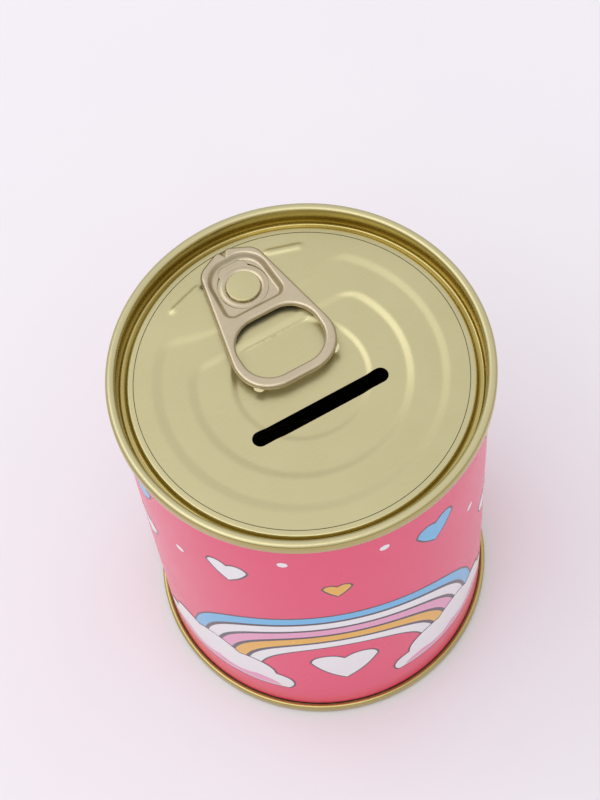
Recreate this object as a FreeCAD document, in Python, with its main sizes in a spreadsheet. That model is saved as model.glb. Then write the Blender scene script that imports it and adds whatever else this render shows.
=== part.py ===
import FreeCAD, Part
import math
import os
import Sketcher
from FreeCAD import Placement, Rotation, Vector

# A tin money box: a three-piece can whose ring-pull lid has a coin slot.
# Millimetres. The origin is on the floor under the middle of the can, +Z is up,
# the coin slot lies along X and the nose of the pull tab points to +Y.

DIMENSIONS = (
    # Tube and wrap
    ("can_height", 95.4),        # floor to the top of the lid's seam
    ("body_radius", 36.6),       # outside of the tube
    ("body_plate", 0.22),        # tinplate of the tube
    ("weld_width", 0.7),         # welded lap on the inside of the tube
    ("weld_rise", 0.08),         # how far the weld stands off the wall
    ("weld_end_gap", 6.0),       # weld bead stops this far from both rims
    ("label_thickness", 0.1),
    ("label_margin", 0.2),       # bare strip between the wrap and each seam
    ("label_lap", 6.0),          # width of the glued lap
    ("lap_angle", 80.0),         # where the lap starts, in degrees round from +X
    # Double seams, from the tube outwards
    ("end_plate", 0.26),         # tinplate of both ends
    ("seam_height", 3.0),
    ("wall_gap", 0.12),          # tube to cover hook
    ("hook_gap", 0.27),          # cover hook to body hook, and body hook to skirt
    ("seal_room", 0.26),         # room over the body hook for the sealing compound
    ("seal_width", 0.5),
    ("tip_gap", 0.35),           # tip of each hook to the fold it points at
    ("fold_bend", 0.3),          # inside bends of the hooks
    ("crown_bend", 0.45),        # inside bends over the top of the seam
    ("fit", 0.03),               # clearance between pieces that are pressed together
    # Countersink and ledge of both ends, from the tube inwards
    ("chuck_inset", 0.4),        # how far the chuck wall leans in on its way down
    ("groove_width", 1.75),
    ("groove_bend", 0.75),
    ("groove_drop", 1.2),        # groove floor below the panel face
    ("wall_inset", 0.15),        # how far the groove's inner wall leans in on its way up
    ("ledge_bend", 0.35),
    ("ledge_width", 1.1),        # flat land outside the score
    ("panel_depth", 3.5),        # seam top to panel face
    ("score_gap", 0.15),         # width of the score line
    # Expansion beads of the plain bottom end
    ("base_land", 5.5),
    ("base_step", 8.0),
    ("base_run", 1.2),
    ("base_rise", 0.55),
    ("base_bend", 0.6),
    # Stepped recesses of the tear panel, from the score inwards
    ("rim_land", 3.75),
    ("outer_terrace", 7.0),
    ("middle_terrace", 8.2),
    ("outer_drop", 0.35),
    ("middle_drop", 0.45),
    ("inner_drop", 0.35),
    ("outer_run", 1.6),          # plan width of each sloping step
    ("middle_run", 1.5),
    ("inner_run", 1.15),
    ("chord_run", 0.35),         # the inner step is steep along its straight side
    ("chord_land", 0.05),        # flat between the straight sides of middle and inner recess
    ("step_corner", 3.2),
    ("chord_setback", 19.4),     # nose tip to the straight side of the middle recess
    ("vee_rise", 2.4),           # middle of the outer recess's vee above the middle recess
    ("vee_angle", 17.0),         # slope of the vee, in degrees
    ("vee_bend", 8.0),
    ("panel_block", 3.0),        # depth of metal that the panel's form is worked in
    # Wing beads beside the nose
    ("wing_gap", 0.65),          # tab's shoulder to the near end of a bead
    ("wing_length", 6.6),        # between the centres of the bead's round ends
    ("wing_setback", 4.4),       # nose tip to the bead's near end
    ("wing_angle", 18.0),
    ("wing_half", 0.85),         # half width of the bead
    ("wing_rise", 0.45),
    ("wing_slope_angle", 45.0),
    # Coin slot
    ("slot_length", 30.0),
    ("slot_width", 3.3),
    ("slot_setback", 7.6),       # middle of the panel to the middle of the slot
    # Pull tab, from its nose back to its ring
    ("tip_setback", 0.45),       # score to the tip of the nose
    ("nose_half", 1.5),          # half width of the blunt tip
    ("nose_bend", 1.2),
    ("shoulder_half", 6.6),
    ("shoulder_drop", 2.5),      # tip to the shoulders
    ("shoulder_bend", 3.5),
    ("nose_length", 2.4),        # tip to the front wall of the island
    ("bridge_length", 1.4),      # front wall of the island to the lanced slit
    ("bridge_half", 3.2),        # half width of the tongue's root
    ("slit_width", 0.22),
    ("floor_lip", 0.45),         # island floor outside the slit
    ("island_rim", 0.9),         # shoulder line to the island's wall, at the nose end
    ("island_flare", 0.65),      # how much wider the island is at its ring end
    ("island_front_bend", 4.6),
    ("island_back_bend", 1.8),
    ("web_width", 2.5),          # island to the finger hole
    ("hole_length", 13.75),
    ("hole_corner", 6.0),
    ("ring_width", 2.25),
    ("tail_half", 12.5),         # half width where the sides would meet the end of the ring
    ("tail_bend", 8.0),
    ("side_width", 1.88),        # ring beside the finger hole, where it is narrowest
    ("tab_height", 1.6),
    ("tab_plate", 0.4),
    ("tab_lift", 0.15),          # running gap under the tab
    ("edge_bend", 0.4),          # round of the tab's upper edges
    ("curl_bend", 0.65),         # round of the curl underneath
    ("island_edge", 0.3),
    ("dimple_half", 0.75),       # pinched fold in the top of the nose
    ("dimple_depth", 0.5),
    ("dimple_length", 1.9),
    ("dimple_angle", 30.0),
    # Rivet and the tongue that it clamps
    ("tongue_plate", 0.35),
    ("tongue_lift", 0.05),
    ("rivet_margin", 1.55),      # tongue's edge to the edge of the rivet's head
    ("crimp_width", 0.6),        # raised ring pressed round the head
    ("crimp_rise", 0.12),
    ("crimp_gap", 0.3),
    ("shank_inset", 1.1),        # head's edge to the shank
    ("head_height", 0.45),
    ("head_bend", 0.2),
    ("dish_inset", 0.9),         # head's edge to its shallow dish
    ("dish_depth", 0.1),
)

doc = FreeCAD.newDocument("TinMoneyBox")
sheet = doc.addObject("Spreadsheet::Sheet", "Dims")
for row, (alias, value) in enumerate(DIMENSIONS, start=1):
    sheet.set(f"A{row}", alias)
    sheet.set(f"B{row}", str(value))
    sheet.setAlias(f"B{row}", alias)
doc.recompute()

AXIS = Vector(0, 0, 1)
FULL_TURN = 360
HALF_TURN = math.pi
UPRIGHT = Placement(Vector(), Rotation(Vector(1, 0, 0), FULL_TURN / 4))
# A sketch counts the points of a line or an arc up from 1, and its own origin and axis down from -1
START, END, CENTRE = range(1, 4)
ORIGIN, VERTICAL_AXIS = range(-1, -3, -1)
TOLERANCE = 1e-4

# The largest bend that a narrow place takes
FOLD_SHARE = 0.45      # of the width of a fold
SIDE_SHARE = 0.48      # of the side between two square corners
TAIL_SHARE = 0.64      # of the tab's half width at its ring end

# Radii of the seam and the end, worked out from the tube
TUBE_INSIDE = "(Dims.body_radius - Dims.body_plate)"
COVER_INSIDE = "(Dims.body_radius + Dims.wall_gap)"
COVER_OUTSIDE = f"({COVER_INSIDE} + Dims.end_plate)"
HOOK_INSIDE = f"({COVER_OUTSIDE} + Dims.hook_gap)"
SKIRT_INSIDE = f"({HOOK_INSIDE} + Dims.body_plate + Dims.hook_gap)"
CHUCK_OUTSIDE = f"({TUBE_INSIDE} - Dims.fit)"
GROOVE_OUTSIDE = f"({CHUCK_OUTSIDE} - Dims.chuck_inset)"
GROOVE_INSIDE = f"({GROOVE_OUTSIDE} - Dims.groove_width)"
LEDGE_CORNER = f"({GROOVE_INSIDE} - Dims.wall_inset)"
SCORE_OUTSIDE = f"({LEDGE_CORNER} - Dims.ledge_width)"
PANEL_RADIUS = f"({SCORE_OUTSIDE} - Dims.score_gap)"

# Depths inside a seam, from its outer face inwards
FOLD_DEPTH = "(Dims.end_plate + Dims.seal_room + Dims.body_plate)"
COVER_TIP = f"({FOLD_DEPTH} + Dims.tip_gap)"
SKIRT_FLOOR = "(Dims.seam_height - Dims.end_plate)"
HOOK_TIP = f"({SKIRT_FLOOR} - Dims.tip_gap)"
GROOVE_FLOOR = "(Dims.panel_depth + Dims.groove_drop + Dims.end_plate)"
PANEL_UNDERSIDE = "(Dims.panel_depth + Dims.end_plate)"

# Bends that a narrow fold limits
SKIRT_BEND = f"min(Dims.fold_bend; {FOLD_SHARE} * ({SKIRT_INSIDE} - {COVER_OUTSIDE}))"
HOOK_BEND = f"min(Dims.fold_bend; {FOLD_SHARE} * ({HOOK_INSIDE} - Dims.body_radius))"

# Levels and places on the lid
PANEL_TOP = "(Dims.can_height - Dims.panel_depth)"
TIP_Y = f"({PANEL_RADIUS} - Dims.tip_setback)"
OUTER_RECESS = f"({PANEL_RADIUS} - Dims.rim_land)"
MIDDLE_RECESS = f"({OUTER_RECESS} - Dims.outer_terrace)"
INNER_RECESS = f"({MIDDLE_RECESS} - Dims.middle_terrace)"
MIDDLE_CHORD = f"({TIP_Y} - Dims.chord_setback)"
INNER_CHORD = f"({MIDDLE_CHORD} - Dims.middle_run - Dims.chord_land)"
VEE_Y = f"({MIDDLE_CHORD} + Dims.vee_rise)"
MIDDLE_LEVEL = f"({PANEL_TOP} - Dims.outer_drop)"
INNER_LEVEL = f"({MIDDLE_LEVEL} - Dims.middle_drop)"

# Lengths along the tab, from the tip of its nose
ISLAND_HALF = "(Dims.shoulder_half - Dims.island_rim)"
TONGUE_RADIUS = f"({ISLAND_HALF} - Dims.floor_lip - Dims.slit_width)"
SLIT_RADIUS = f"({TONGUE_RADIUS} + Dims.slit_width)"
RIVET_SETBACK = f"(Dims.nose_length + Dims.bridge_length + {SLIT_RADIUS})"
ISLAND_END = f"({RIVET_SETBACK} + {SLIT_RADIUS} + Dims.floor_lip)"
HOLE_START = f"({ISLAND_END} + Dims.web_width)"
HOLE_END = f"({HOLE_START} + Dims.hole_length)"
TAB_LENGTH = f"({HOLE_END} + Dims.ring_width)"
HOLE_CORNER = f"min(Dims.hole_corner; {SIDE_SHARE} * Dims.hole_length)"
TAB_FLARE = f"((Dims.tail_half - Dims.shoulder_half) / ({TAB_LENGTH} - Dims.shoulder_drop))"
HOLE_SIDE_REACH = f"({HOLE_START} + {HOLE_CORNER} - Dims.shoulder_drop)"
HOLE_HALF = f"(Dims.shoulder_half + {TAB_FLARE} * {HOLE_SIDE_REACH} - Dims.side_width)"
RIVET_Y = f"({TIP_Y} - {RIVET_SETBACK})"
TAB_BOTTOM = f"({PANEL_TOP} + Dims.tab_lift)"
TAB_TOP = f"({TAB_BOTTOM} + Dims.tab_height)"

# Rivet and tongue
TONGUE_BOTTOM = f"({PANEL_TOP} + Dims.tongue_lift)"
TONGUE_TOP = f"({TONGUE_BOTTOM} + Dims.tongue_plate)"
HEAD_RADIUS = f"({TONGUE_RADIUS} - Dims.rivet_margin)"
SHANK_RADIUS = f"({HEAD_RADIUS} - Dims.shank_inset)"
HEAD_BOTTOM = f"({TONGUE_TOP} + Dims.fit)"
HEAD_TOP = f"({HEAD_BOTTOM} + Dims.head_height)"
CRIMP_INSIDE = f"({HEAD_RADIUS} + Dims.crimp_gap)"


def amount(expression):
    """The value of an expression of the sheet's dimensions, in millimetres or degrees."""
    result = sheet.evalExpression(expression)
    return float(getattr(result, "Value", result))


def bind(sketch, kind, *places, expression):
    """A dimension of a sketch that follows the sheet."""
    places = places + (amount(expression),)
    index = sketch.addConstraint(Sketcher.Constraint(kind, *places))
    sketch.setExpression(f"Constraints[{index}]", expression)


def pin_point(sketch, geometry, place, x, y):
    """Hold one point of a sketch at a place worked out from the sheet."""
    bind(sketch, "DistanceX", ORIGIN, START, geometry, place, expression=x)
    bind(sketch, "DistanceY", ORIGIN, START, geometry, place, expression=y)


def tangent(sketch, first, first_end, second, second_end):
    sketch.addConstraint(Sketcher.Constraint("Tangent", first, first_end, second, second_end))


def bent_path(sketch, corners, closed=False):
    """Straight runs from corner to corner, with each corner rounded to its bend radius.

    A corner is x, y and bend, all expressions. A bend of None leaves the corner sharp.
    """
    points = [Vector(amount(x), amount(y), 0) for x, y, bend in corners]
    count = len(points)
    run_count = count if closed else count - 1
    ways = [(points[(i + 1) % count] - points[i]).normalize() for i in range(run_count)]
    turns = {}
    for i, (x, y, bend) in enumerate(corners):
        inside = closed or 0 < i < count - 1
        if inside and bend is not None:
            half_turn = ways[i - 1].getAngle(ways[i]) / 2
            turns[i] = (amount(bend), amount(bend) * math.tan(half_turn))
    runs = []
    for i in range(run_count):
        trim_start = turns.get(i, (0, 0))[1]
        trim_end = turns.get((i + 1) % count, (0, 0))[1]
        line = Part.LineSegment(points[i] + ways[i] * trim_start,
                                points[(i + 1) % count] - ways[i] * trim_end)
        runs.append(sketch.addGeometry(line, False))
    for i, (x, y, bend) in enumerate(corners):
        if i in turns:
            round_corner(sketch, points[i], ways[i - 1], ways[i], turns[i], runs[i - 1], runs[i], corners[i])
        elif closed or 0 < i < count - 1:
            sketch.addConstraint(Sketcher.Constraint("Coincident", runs[i - 1], END, runs[i], START))
            pin_point(sketch, runs[i], START, x, y)
        elif i == 0:
            pin_point(sketch, runs[0], START, x, y)
        else:
            pin_point(sketch, runs[-1], END, x, y)


def round_corner(sketch, point, way_in, way_out, turn, run_in, run_out, corner):
    """An arc that joins two runs, held by the point where the runs would meet."""
    x, y, bend = corner
    radius, trim = turn
    leftward = way_in.cross(way_out).z > 0
    side = Vector(-way_in.y, way_in.x, 0) * (1 if leftward else -1)
    centre = point - way_in * trim + side * radius
    first = point - way_in * trim - centre
    last = point + way_out * trim - centre
    begin, finish = (first, last) if leftward else (last, first)
    arc = Part.ArcOfCircle(Part.Circle(centre, AXIS, radius),
                           math.atan2(begin.y, begin.x), math.atan2(finish.y, finish.x))
    arc_id = sketch.addGeometry(arc, False)
    tangent(sketch, run_in, END, arc_id, START if leftward else END)
    tangent(sketch, arc_id, END if leftward else START, run_out, START)
    mark = sketch.addGeometry(Part.Point(point), True)
    sketch.addConstraint(Sketcher.Constraint("PointOnObject", mark, START, run_in))
    sketch.addConstraint(Sketcher.Constraint("PointOnObject", mark, START, run_out))
    pin_point(sketch, mark, START, x, y)
    bind(sketch, "Radius", arc_id, expression=bend)


def circle_outline(sketch, radius):
    circle = sketch.addGeometry(Part.Circle(Vector(), AXIS, amount(radius)), False)
    sketch.addConstraint(Sketcher.Constraint("Coincident", circle, CENTRE, ORIGIN, START))
    bind(sketch, "Radius", circle, expression=radius)


def slot_outline(sketch, first, second, radius):
    """A straight slot with round ends, from the centre of one end to the centre of the other."""
    centres = [Vector(amount(x), amount(y), 0) for x, y in (first, second)]
    size = amount(radius)
    way = (centres[1] - centres[0]).normalize()
    across = Vector(-way.y, way.x, 0)
    lean = math.atan2(across.y, across.x)
    arcs = []
    for centre, begin in zip(centres, (lean, lean + HALF_TURN)):
        arc = Part.ArcOfCircle(Part.Circle(centre, AXIS, size), begin, begin + HALF_TURN)
        arcs.append(sketch.addGeometry(arc, False))
    near = Part.LineSegment(centres[0] - across * size, centres[1] - across * size)
    far = Part.LineSegment(centres[1] + across * size, centres[0] + across * size)
    near_id = sketch.addGeometry(near, False)
    far_id = sketch.addGeometry(far, False)
    tangent(sketch, arcs[0], END, near_id, START)
    tangent(sketch, near_id, END, arcs[1], START)
    tangent(sketch, arcs[1], END, far_id, START)
    tangent(sketch, far_id, END, arcs[0], START)
    sketch.addConstraint(Sketcher.Constraint("Equal", arcs[0], arcs[1]))
    bind(sketch, "Radius", arcs[0], expression=radius)
    pin_point(sketch, arcs[0], CENTRE, *first)
    pin_point(sketch, arcs[1], CENTRE, *second)


def recess_outline(sketch, radius, chord, corner_bend, vee_angle=None):
    """A round recess cut off by a straight chord, or by a shallow vee that dips to the chord's height."""
    size, height, corner = amount(radius), amount(chord), amount(corner_bend)
    slope = 0 if vee_angle is None else math.radians(amount(vee_angle))
    # The corner's centre lies one corner radius inside both the round and the straight side
    reach = size - corner
    offset = (height - corner / math.cos(slope)) * math.cos(slope)
    turn = slope + math.asin(offset / reach)
    centre = Vector(reach * math.cos(turn), reach * math.sin(turn), 0)
    normal = slope + HALF_TURN / 2
    touch = centre + Vector(math.cos(normal), math.sin(normal), 0) * corner
    mirror = Vector(-touch.x, touch.y, 0)
    round_id = sketch.addGeometry(
        Part.ArcOfCircle(Part.Circle(Vector(), AXIS, size), HALF_TURN - turn, 2 * HALF_TURN + turn), False)
    right = sketch.addGeometry(Part.ArcOfCircle(Part.Circle(centre, AXIS, corner), turn, normal), False)
    left_circle = Part.Circle(Vector(-centre.x, centre.y, 0), AXIS, corner)
    left = sketch.addGeometry(Part.ArcOfCircle(left_circle, HALF_TURN - normal, HALF_TURN - turn), False)
    tangent(sketch, round_id, END, right, START)
    tangent(sketch, left, END, round_id, START)
    sketch.addConstraint(Sketcher.Constraint("Coincident", round_id, CENTRE, ORIGIN, START))
    sketch.addConstraint(Sketcher.Constraint("Equal", right, left))
    bind(sketch, "Radius", round_id, expression=radius)
    bind(sketch, "Radius", right, expression=corner_bend)
    if vee_angle is None:
        side = sketch.addGeometry(Part.LineSegment(touch, mirror), False)
        tangent(sketch, right, END, side, START)
        tangent(sketch, side, END, left, START)
        sketch.addConstraint(Sketcher.Constraint("Horizontal", side))
        bind(sketch, "DistanceY", ORIGIN, START, side, START, expression=chord)
    else:
        vee_sides(sketch, touch, mirror, right, left, chord, vee_angle, radius)


def vee_sides(sketch, touch, mirror, right, left, dip, angle, reach):
    """The two slanting sides of the outer recess and the round where they meet."""
    slope, bend = math.radians(amount(angle)), amount("Dims.vee_bend")
    bottom = Vector(0, amount(dip), 0)
    trim = Vector(math.cos(slope), math.sin(slope), 0) * bend * math.tan(slope)
    opposite = Vector(-trim.x, trim.y, 0)
    falling = sketch.addGeometry(Part.LineSegment(touch, bottom + trim), False)
    rising = sketch.addGeometry(Part.LineSegment(bottom + opposite, mirror), False)
    centre = Vector(0, amount(dip) + bend / math.cos(slope), 0)
    low = -HALF_TURN / 2
    middle = Part.ArcOfCircle(Part.Circle(centre, AXIS, bend), low - slope, low + slope)
    middle_id = sketch.addGeometry(middle, False)
    tangent(sketch, right, END, falling, START)
    tangent(sketch, falling, END, middle_id, END)
    tangent(sketch, middle_id, START, rising, START)
    tangent(sketch, rising, END, left, START)
    mark = sketch.addGeometry(Part.Point(bottom), True)
    sketch.addConstraint(Sketcher.Constraint("PointOnObject", mark, START, falling))
    sketch.addConstraint(Sketcher.Constraint("PointOnObject", mark, START, rising))
    sketch.addConstraint(Sketcher.Constraint("PointOnObject", mark, START, VERTICAL_AXIS))
    bind(sketch, "DistanceY", ORIGIN, START, mark, START, expression=dip)
    bind(sketch, "Radius", middle_id, expression="Dims.vee_bend")
    # Each side is aimed at a guide point above the end of the recess
    height = f"{dip} + {reach} * tan({angle} * 1 deg)"
    for side, run in ((1, falling), (-1, rising)):
        across = f"{side} * {reach}"
        guide = sketch.addGeometry(Part.Point(Vector(amount(across), amount(height), 0)), True)
        sketch.addConstraint(Sketcher.Constraint("PointOnObject", guide, START, run))
        pin_point(sketch, guide, START, across, height)


def sheet_of_revolution(name, corners, plate, side):
    """Tinplate bent along a path and spun round the can's axis.

    The path is the face of the sheet that the next layer lies against; side says which way it thickens.
    """
    path = doc.addObject("Sketcher::SketchObject", f"{name}_path")
    path.Placement = UPRIGHT
    bent_path(path, corners)
    section = doc.addObject("Part::Offset2D", f"{name}_section")
    section.Source = path
    section.Mode = "Skin"
    section.Join = "Arc"
    section.Fill = True
    section.setExpression("Value", f"{side} * {plate}")
    turned = doc.addObject("Part::Revolution", f"{name}_turned")
    turned.Source = section
    turned.Axis = AXIS
    turned.Angle = FULL_TURN
    turned.Solid = True
    return turned


def end_corners(level):
    """The path of an end's inner face, from the tip of its cover hook in to the panel's ledge."""
    return [
        (COVER_OUTSIDE, level(COVER_TIP), None),
        (COVER_OUTSIDE, level(SKIRT_FLOOR), SKIRT_BEND),
        (SKIRT_INSIDE, level(SKIRT_FLOOR), SKIRT_BEND),
        (SKIRT_INSIDE, level("Dims.end_plate"), "Dims.crown_bend"),
        (CHUCK_OUTSIDE, level("Dims.end_plate"), "Dims.crown_bend"),
        (GROOVE_OUTSIDE, level(GROOVE_FLOOR), "Dims.groove_bend"),
        (GROOVE_INSIDE, level(GROOVE_FLOOR), "Dims.groove_bend"),
        (LEDGE_CORNER, level(PANEL_UNDERSIDE), "Dims.ledge_bend"),
    ]


def from_top(depth):
    return f"(Dims.can_height - ({depth}))"


def from_floor(depth):
    return f"({depth})"


def cylinder(name, radius, low, high):
    """An upright cylinder on the can's axis."""
    shape = doc.addObject("Part::Cylinder", name)
    shape.setExpression("Radius", radius)
    shape.setExpression("Height", f"{high} - {low}")
    shape.setExpression("Placement.Base.z", low)
    return shape


def combined(kind, name, base, tool):
    result = doc.addObject(f"Part::{kind}", name)
    result.Base = base
    result.Tool = tool
    return result


def tube(name, inside, outside, low, high):
    outer = cylinder(f"{name}_outer", outside, low, high)
    inner = cylinder(f"{name}_inner", inside, low, high)
    return combined("Cut", name, outer, inner)


def make_body(label):
    body = doc.addObject("PartDesign::Body", label)
    body.Label = label
    return body


def origin_plane(body, role):
    return next(plane for plane in body.Origin.OriginFeatures if plane.Role == role)


def level_sketch(body, name, level, y="0"):
    """A horizontal sketch at a height, with its own origin at x = 0 and the given y."""
    sketch = body.newObject("Sketcher::SketchObject", name)
    sketch.AttachmentSupport = [(origin_plane(body, "XY_Plane"), "")]
    sketch.MapMode = "FlatFace"
    sketch.setExpression("AttachmentOffset.Base.y", y)
    sketch.setExpression("AttachmentOffset.Base.z", level)
    return sketch


def pad(body, sketch, length, lean=None):
    feature = body.newObject("PartDesign::Pad", f"{sketch.Name}_pad")
    feature.Profile = sketch
    feature.setExpression("Length", length)
    if lean is not None:
        feature.setExpression("TaperAngle", lean)
    doc.recompute()
    return feature


def pocket(body, sketch, depth=None, lean=None):
    """A cut down from a sketch: right through, or to a depth, with leaning sides if asked."""
    before = body.Shape.Volume
    feature = body.newObject("PartDesign::Pocket", f"{sketch.Name}_pocket")
    feature.Profile = sketch
    if depth is None:
        feature.Type = "ThroughAll"
    else:
        feature.setExpression("Length", depth)
    if lean is not None:
        feature.setExpression("TaperAngle", lean)
    doc.recompute()
    if body.Shape.Volume >= before:
        raise RuntimeError(f"{sketch.Name} cuts nothing")
    return feature


def edges_inside(shape, low, high):
    """The names of the edges that lie whole between two corners."""
    names = []
    for number, edge in enumerate(shape.Edges, start=1):
        box = edge.BoundBox
        smallest = (box.XMin, box.YMin, box.ZMin)
        largest = (box.XMax, box.YMax, box.ZMax)
        above = all(value >= limit - TOLERANCE for value, limit in zip(smallest, low))
        below = all(value <= limit + TOLERANCE for value, limit in zip(largest, high))
        if above and below:
            names.append(f"Edge{number}")
    return names


def round_edges(body, name, radius, half, near, far, levels):
    """Round the edges that lie at some levels within half a width and between two lengths from the tip."""
    base, tip = body.Tip, amount(TIP_Y)
    names = []
    for level in levels:
        height = amount(level)
        low = (-amount(half), tip - amount(far), height)
        high = (amount(half), tip - amount(near), height)
        names += edges_inside(base.Shape, low, high)
    feature = body.newObject("PartDesign::Fillet", name)
    feature.Base = (base, names)
    feature.setExpression("Radius", radius)
    doc.recompute()
    return feature


def both_sides(corners):
    """Mirror a half outline about x = 0: the right half, then the left half backwards."""
    left = [(f"-({x})", y, bend) for x, y, bend in reversed(corners)]
    return corners + left


def make_can_body():
    """The welded tube: body hooks turned out and back at both ends, and the weld inside."""
    wall = sheet_of_revolution("can_wall", [
        (HOOK_INSIDE, from_floor(HOOK_TIP), None),
        (HOOK_INSIDE, from_floor(FOLD_DEPTH), HOOK_BEND),
        ("Dims.body_radius", from_floor(FOLD_DEPTH), HOOK_BEND),
        ("Dims.body_radius", from_top(FOLD_DEPTH), HOOK_BEND),
        (HOOK_INSIDE, from_top(FOLD_DEPTH), HOOK_BEND),
        (HOOK_INSIDE, from_top(HOOK_TIP), None),
    ], "Dims.body_plate", 1)
    weld = doc.addObject("Part::Box", "weld_bead")
    weld.setExpression("Length", "Dims.weld_width")
    weld.setExpression("Width", "Dims.weld_rise + Dims.body_plate / 2")
    weld.setExpression("Height", "Dims.can_height - 2 * Dims.weld_end_gap")
    weld.setExpression("Placement.Base.x", "-Dims.weld_width / 2")
    weld.setExpression("Placement.Base.y", f"{TUBE_INSIDE} - Dims.weld_rise")
    weld.setExpression("Placement.Base.z", "Dims.weld_end_gap")
    return combined("Fuse", "can_body", wall, weld)


def make_printed_label():
    """The wrap between the seams, with its glued lap standing one thickness proud at the back."""
    low = "(Dims.seam_height + Dims.label_margin)"
    high = f"(Dims.can_height - {low})"
    inside = "(Dims.body_radius + Dims.fit)"
    outside = f"({inside} + Dims.label_thickness)"
    lap_outside = f"({outside} + Dims.label_thickness)"
    wrap = tube("wrap", inside, outside, low, high)
    lap = tube("wrap_lap", inside, lap_outside, low, high)
    lap.Base.setExpression("Angle", f"Dims.label_lap / {outside} * 1 rad")
    lap.Base.Placement = Placement(Vector(), Rotation(AXIS, amount("Dims.lap_angle")))
    lap.Base.setExpression("Placement.Rotation.Angle", "Dims.lap_angle * 1 deg")
    return combined("Fuse", "printed_label", wrap, lap)


def make_seam_seal(name, level):
    """The sealing compound between an end and the fold of the body hook."""
    faces = [level("Dims.end_plate + Dims.fit"), level("Dims.end_plate + Dims.seal_room - Dims.fit")]
    low, high = sorted(faces, key=amount)
    middle = f"((Dims.body_radius + {HOOK_INSIDE}) / 2)"
    return tube(name, f"{middle} - Dims.seal_width / 2", f"{middle} + Dims.seal_width / 2", f"({low})", high)


def make_bottom_end():
    """The plain end: seam, countersink and two expansion steps."""
    first = f"({LEDGE_CORNER} - Dims.base_land)"
    second = f"({first} - Dims.base_step)"
    corners = end_corners(from_floor)
    depth = PANEL_UNDERSIDE
    for edge in (first, second):
        corners.append((edge, depth, "Dims.base_bend"))
        depth = f"({depth} + Dims.base_rise)"
        corners.append((f"({edge} - Dims.base_run)", depth, "Dims.base_bend"))
    corners.append(("0", depth, None))
    return sheet_of_revolution("bottom_end", corners, "Dims.end_plate", 1)


def make_lid_ring():
    """The easy-open end outside its score: seam, chuck wall, countersink and ledge."""
    corners = end_corners(from_top)
    corners.append((SCORE_OUTSIDE, from_top(PANEL_UNDERSIDE), None))
    return sheet_of_revolution("lid_ring", corners, "Dims.end_plate", -1)


def make_tear_panel():
    """The easy-open end inside its score: a disc pressed down in three steps, with two wing beads up.

    The panel's top face is worked on a thick block, and the same block one plate lower is taken from it.
    """
    body = make_body("panel_form")
    disc = level_sketch(body, "panel_disc", f"{PANEL_TOP} - Dims.panel_block")
    circle_outline(disc, PANEL_RADIUS)
    pad(body, disc, "Dims.panel_block")
    outer = level_sketch(body, "outer_recess", PANEL_TOP)
    recess_outline(outer, OUTER_RECESS, VEE_Y, "Dims.step_corner", "Dims.vee_angle")
    pocket(body, outer, "Dims.outer_drop", "-atan(Dims.outer_run / Dims.outer_drop)")
    middle = level_sketch(body, "middle_recess", MIDDLE_LEVEL)
    recess_outline(middle, MIDDLE_RECESS, MIDDLE_CHORD, "Dims.step_corner")
    pocket(body, middle, "Dims.middle_drop", "-atan(Dims.middle_run / Dims.middle_drop)")
    brim = level_sketch(body, "inner_recess_brim", INNER_LEVEL)
    recess_outline(brim, INNER_RECESS, INNER_CHORD, "Dims.step_corner")
    floor = level_sketch(body, "inner_recess_floor", f"{INNER_LEVEL} - Dims.inner_drop")
    recess_outline(floor, f"{INNER_RECESS} - Dims.inner_run", f"{INNER_CHORD} - Dims.chord_run",
                   "Dims.step_corner - Dims.inner_run / 2")
    well = body.newObject("PartDesign::SubtractiveLoft", "finger_well")
    well.Profile = brim
    well.Sections = [floor]
    well.Ruled = True
    doc.recompute()
    start = "(Dims.shoulder_half + Dims.wing_gap + Dims.wing_half)"
    reach = f"({start} + Dims.wing_length * cos(Dims.wing_angle * 1 deg))"
    fall = "(Dims.wing_setback + Dims.wing_length * sin(Dims.wing_angle * 1 deg))"
    for side, name in ((1, "wing_right"), (-1, "wing_left")):
        wing = level_sketch(body, name, PANEL_TOP, TIP_Y)
        slot_outline(wing, (f"{side} * {start}", "-Dims.wing_setback"), (f"{side} * {reach}", f"-{fall}"),
                     "Dims.wing_half")
        pad(body, wing, "Dims.wing_rise", "-Dims.wing_slope_angle")
    slot = level_sketch(body, "coin_slot", PANEL_TOP)
    half = "((Dims.slot_length - Dims.slot_width) / 2)"
    slot_y = "-Dims.slot_setback"
    slot_outline(slot, (f"-{half}", slot_y), (half, slot_y), "Dims.slot_width / 2")
    pocket(body, slot)
    under = doc.addObject("Part::Compound", "panel_under")
    under.Links = [body]
    under.setExpression("Placement.Base.z", "-Dims.end_plate")
    return combined("Cut", "tear_panel", body, under)


def make_tab_rivet():
    """The button that holds the tab: shank on the panel, wide head with a shallow dish."""
    body = make_body("tab_rivet")
    profile = body.newObject("Sketcher::SketchObject", "rivet_profile")
    profile.AttachmentSupport = [(origin_plane(body, "XZ_Plane"), "")]
    profile.MapMode = "FlatFace"
    profile.setExpression("AttachmentOffset.Base.z", f"-{RIVET_Y}")
    dish = f"({HEAD_RADIUS} - Dims.dish_inset)"
    bent_path(profile, [
        ("0", PANEL_TOP, None),
        (SHANK_RADIUS, PANEL_TOP, None),
        (SHANK_RADIUS, HEAD_BOTTOM, None),
        (HEAD_RADIUS, HEAD_BOTTOM, None),
        (HEAD_RADIUS, HEAD_TOP, "Dims.head_bend"),
        (dish, HEAD_TOP, "Dims.head_bend"),
        (f"({dish} - Dims.head_bend)", f"({HEAD_TOP} - Dims.dish_depth)", "Dims.head_bend"),
        ("0", f"({HEAD_TOP} - Dims.dish_depth)", None),
    ], closed=True)
    turned = body.newObject("PartDesign::Revolution", "rivet_turned")
    turned.Profile = profile
    turned.ReferenceAxis = (profile, ["V_Axis"])
    turned.Angle = FULL_TURN
    return body


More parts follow.
